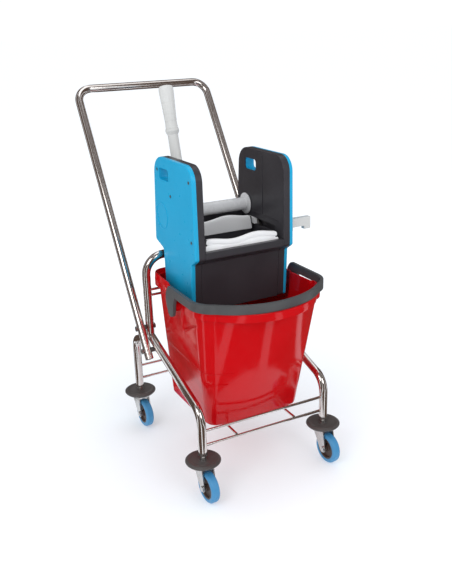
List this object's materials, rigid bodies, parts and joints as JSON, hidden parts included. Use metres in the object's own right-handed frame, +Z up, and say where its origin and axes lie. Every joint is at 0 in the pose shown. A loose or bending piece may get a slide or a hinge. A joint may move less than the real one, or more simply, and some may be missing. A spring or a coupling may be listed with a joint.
{
  "type": "mopping trolley with bucket and lever wringer",
  "caption": "Mopping trolley: red bucket with bail on a wheeled tube frame, slanted push handle, and a side-lever mop wringer hung above the bucket",
  "frame": {"origin": "on the floor, below the centre of the outline seen from above, midway between left and right", "axes": "+Z is up, +Y points from the front of the bucket to the push handle, +X points to the right of someone who stands in front and looks towards +Y"},
  "size_m": [0.438, 0.7942, 0.9591],
  "materials": {
    "chrome": "bright chrome plating, lightly worn",
    "bolt_steel": "zinc plated steel",
    "castor_zinc": "bright zinc plated pressed steel",
    "disc_plastic": "dark grey moulded plastic",
    "hub_plastic": "dark brown moulded plastic",
    "tyre_rubber": "blue elastic tyre",
    "bucket_red": "satin moulded polypropylene",
    "charcoal_plastic": "fine grained charcoal plastic",
    "cover_blue": "satin blue plastic",
    "white_plastic": "off-white moulded plastic",
    "bar_grey": "light grey smooth sleeve"
  },
  "bodies": {
    "trolley": {"left_side_rail": "chrome", "right_side_rail": "chrome", "upright_arch": "chrome", "left_rear_leg": "chrome", "right_rear_leg": "chrome", "front_rods": "chrome", "rear_rods": "chrome", "base_rods": "chrome", "cross_rods": "chrome", "push_handle": "chrome", "handle_bolts": "bolt_steel", "handle_nuts": "bolt_steel", "handle_spacers": "disc_plastic", "rail_lugs": "chrome", "leg_sockets": "disc_plastic", "castor_stems": "castor_zinc", "buffer_discs": "disc_plastic"},
    "front_left_swivel": {"front_left_fork": "castor_zinc", "front_left_axle": "castor_zinc"},
    "front_left_wheel": {"front_left_hub": "hub_plastic", "front_left_tyre": "tyre_rubber"},
    "front_right_swivel": {"front_right_fork": "castor_zinc", "front_right_axle": "castor_zinc"},
    "front_right_wheel": {"front_right_hub": "hub_plastic", "front_right_tyre": "tyre_rubber"},
    "rear_left_swivel": {"rear_left_fork": "castor_zinc", "rear_left_axle": "castor_zinc"},
    "rear_left_wheel": {"rear_left_hub": "hub_plastic", "rear_left_tyre": "tyre_rubber"},
    "rear_right_swivel": {"rear_right_fork": "castor_zinc", "rear_right_axle": "castor_zinc"},
    "rear_right_wheel": {"rear_right_hub": "hub_plastic", "rear_right_tyre": "tyre_rubber"},
    "bucket_body": {"bucket": "bucket_red", "bail_pins": "charcoal_plastic"},
    "bail_body": {"bail": "charcoal_plastic"},
    "press_housing": {"left_side_wall": "charcoal_plastic", "right_side_wall": "charcoal_plastic", "left_cover": "cover_blue", "right_cover": "cover_blue", "cover_screws": "bolt_steel", "front_apron": "charcoal_plastic", "rear_wall": "charcoal_plastic", "strainer_floor": "charcoal_plastic", "hanging_hooks": "charcoal_plastic", "fixed_jaw": "white_plastic", "side_hook": "white_plastic", "shaft_bushes": "white_plastic"},
    "press_lever": {"press_bar": "bar_grey", "bar_flanges": "bar_grey", "shaft_core": "bolt_steel", "shaft_rings": "bolt_steel", "cam_plates": "bolt_steel", "lever_arm": "white_plastic", "lever_grip": "white_plastic"},
    "press_jaw": {"moving_jaw": "white_plastic", "jaw_carrier": "charcoal_plastic", "jaw_shoes": "white_plastic", "jaw_pins": "bolt_steel"}
  },
  "joints": [
    {"name": "front_left_swivel_turn", "type": "hinge", "parent": "trolley", "child": "front_left_swivel", "pos_m": [-0.175, -0.3081, 0.088], "axis": [0, 0, 1], "continuous": true},
    {"name": "front_left_wheel_roll", "type": "hinge", "parent": "front_left_swivel", "child": "front_left_wheel", "pos_m": [-0.17374, -0.33207, 0.04], "axis": [0.9986, 0.0523, 0], "continuous": true},
    {"name": "front_right_swivel_turn", "type": "hinge", "parent": "trolley", "child": "front_right_swivel", "pos_m": [0.175, -0.3081, 0.088], "axis": [0, 0, 1], "continuous": true},
    {"name": "front_right_wheel_roll", "type": "hinge", "parent": "front_right_swivel", "child": "front_right_wheel", "pos_m": [0.17626, -0.33207, 0.04], "axis": [0.9986, 0.0523, 0], "continuous": true},
    {"name": "rear_left_swivel_turn", "type": "hinge", "parent": "trolley", "child": "rear_left_swivel", "pos_m": [-0.175, 0.1139, 0.088], "axis": [0, 0, 1], "continuous": true},
    {"name": "rear_left_wheel_roll", "type": "hinge", "parent": "rear_left_swivel", "child": "rear_left_wheel", "pos_m": [-0.17374, 0.08993, 0.04], "axis": [0.9986, 0.0523, 0], "continuous": true},
    {"name": "rear_right_swivel_turn", "type": "hinge", "parent": "trolley", "child": "rear_right_swivel", "pos_m": [0.175, 0.1139, 0.088], "axis": [0, 0, 1], "continuous": true},
    {"name": "rear_right_wheel_roll", "type": "hinge", "parent": "rear_right_swivel", "child": "rear_right_wheel", "pos_m": [0.17626, 0.08993, 0.04], "axis": [0.9986, 0.0523, 0], "continuous": true},
    {"name": "bucket_lift", "type": "slide", "parent": "trolley", "child": "bucket_body", "axis": [0, 0, 1], "range_m": [0, 0.02]},
    {"name": "bail_swing", "type": "hinge", "parent": "bucket_body", "child": "bail_body", "pos_m": [0, -0.1631, 0.455], "axis": [-1, 0, 0], "range_deg": [0, 45]},
    {"name": "press_lift", "type": "slide", "parent": "trolley", "child": "press_housing", "axis": [0, 0, 1], "range_m": [0, 0.25]},
    {"name": "lever_swing", "type": "hinge", "parent": "press_housing", "child": "press_lever", "pos_m": [0, -0.0401, 0.65], "axis": [-1, 0, 0], "range_deg": [0, 60], "stiffness_Nm_per_rad": 0.6, "springref_deg": -34.38},
    {"name": "jaw_slide", "type": "slide", "parent": "press_housing", "child": "press_jaw", "axis": [0, -1, 0], "range_m": [0, 0.095]}
  ],
  "couplings": [
    {"joint": "jaw_slide", "follows": "lever_swing", "m_per_rad": 0.0907}
  ]
}
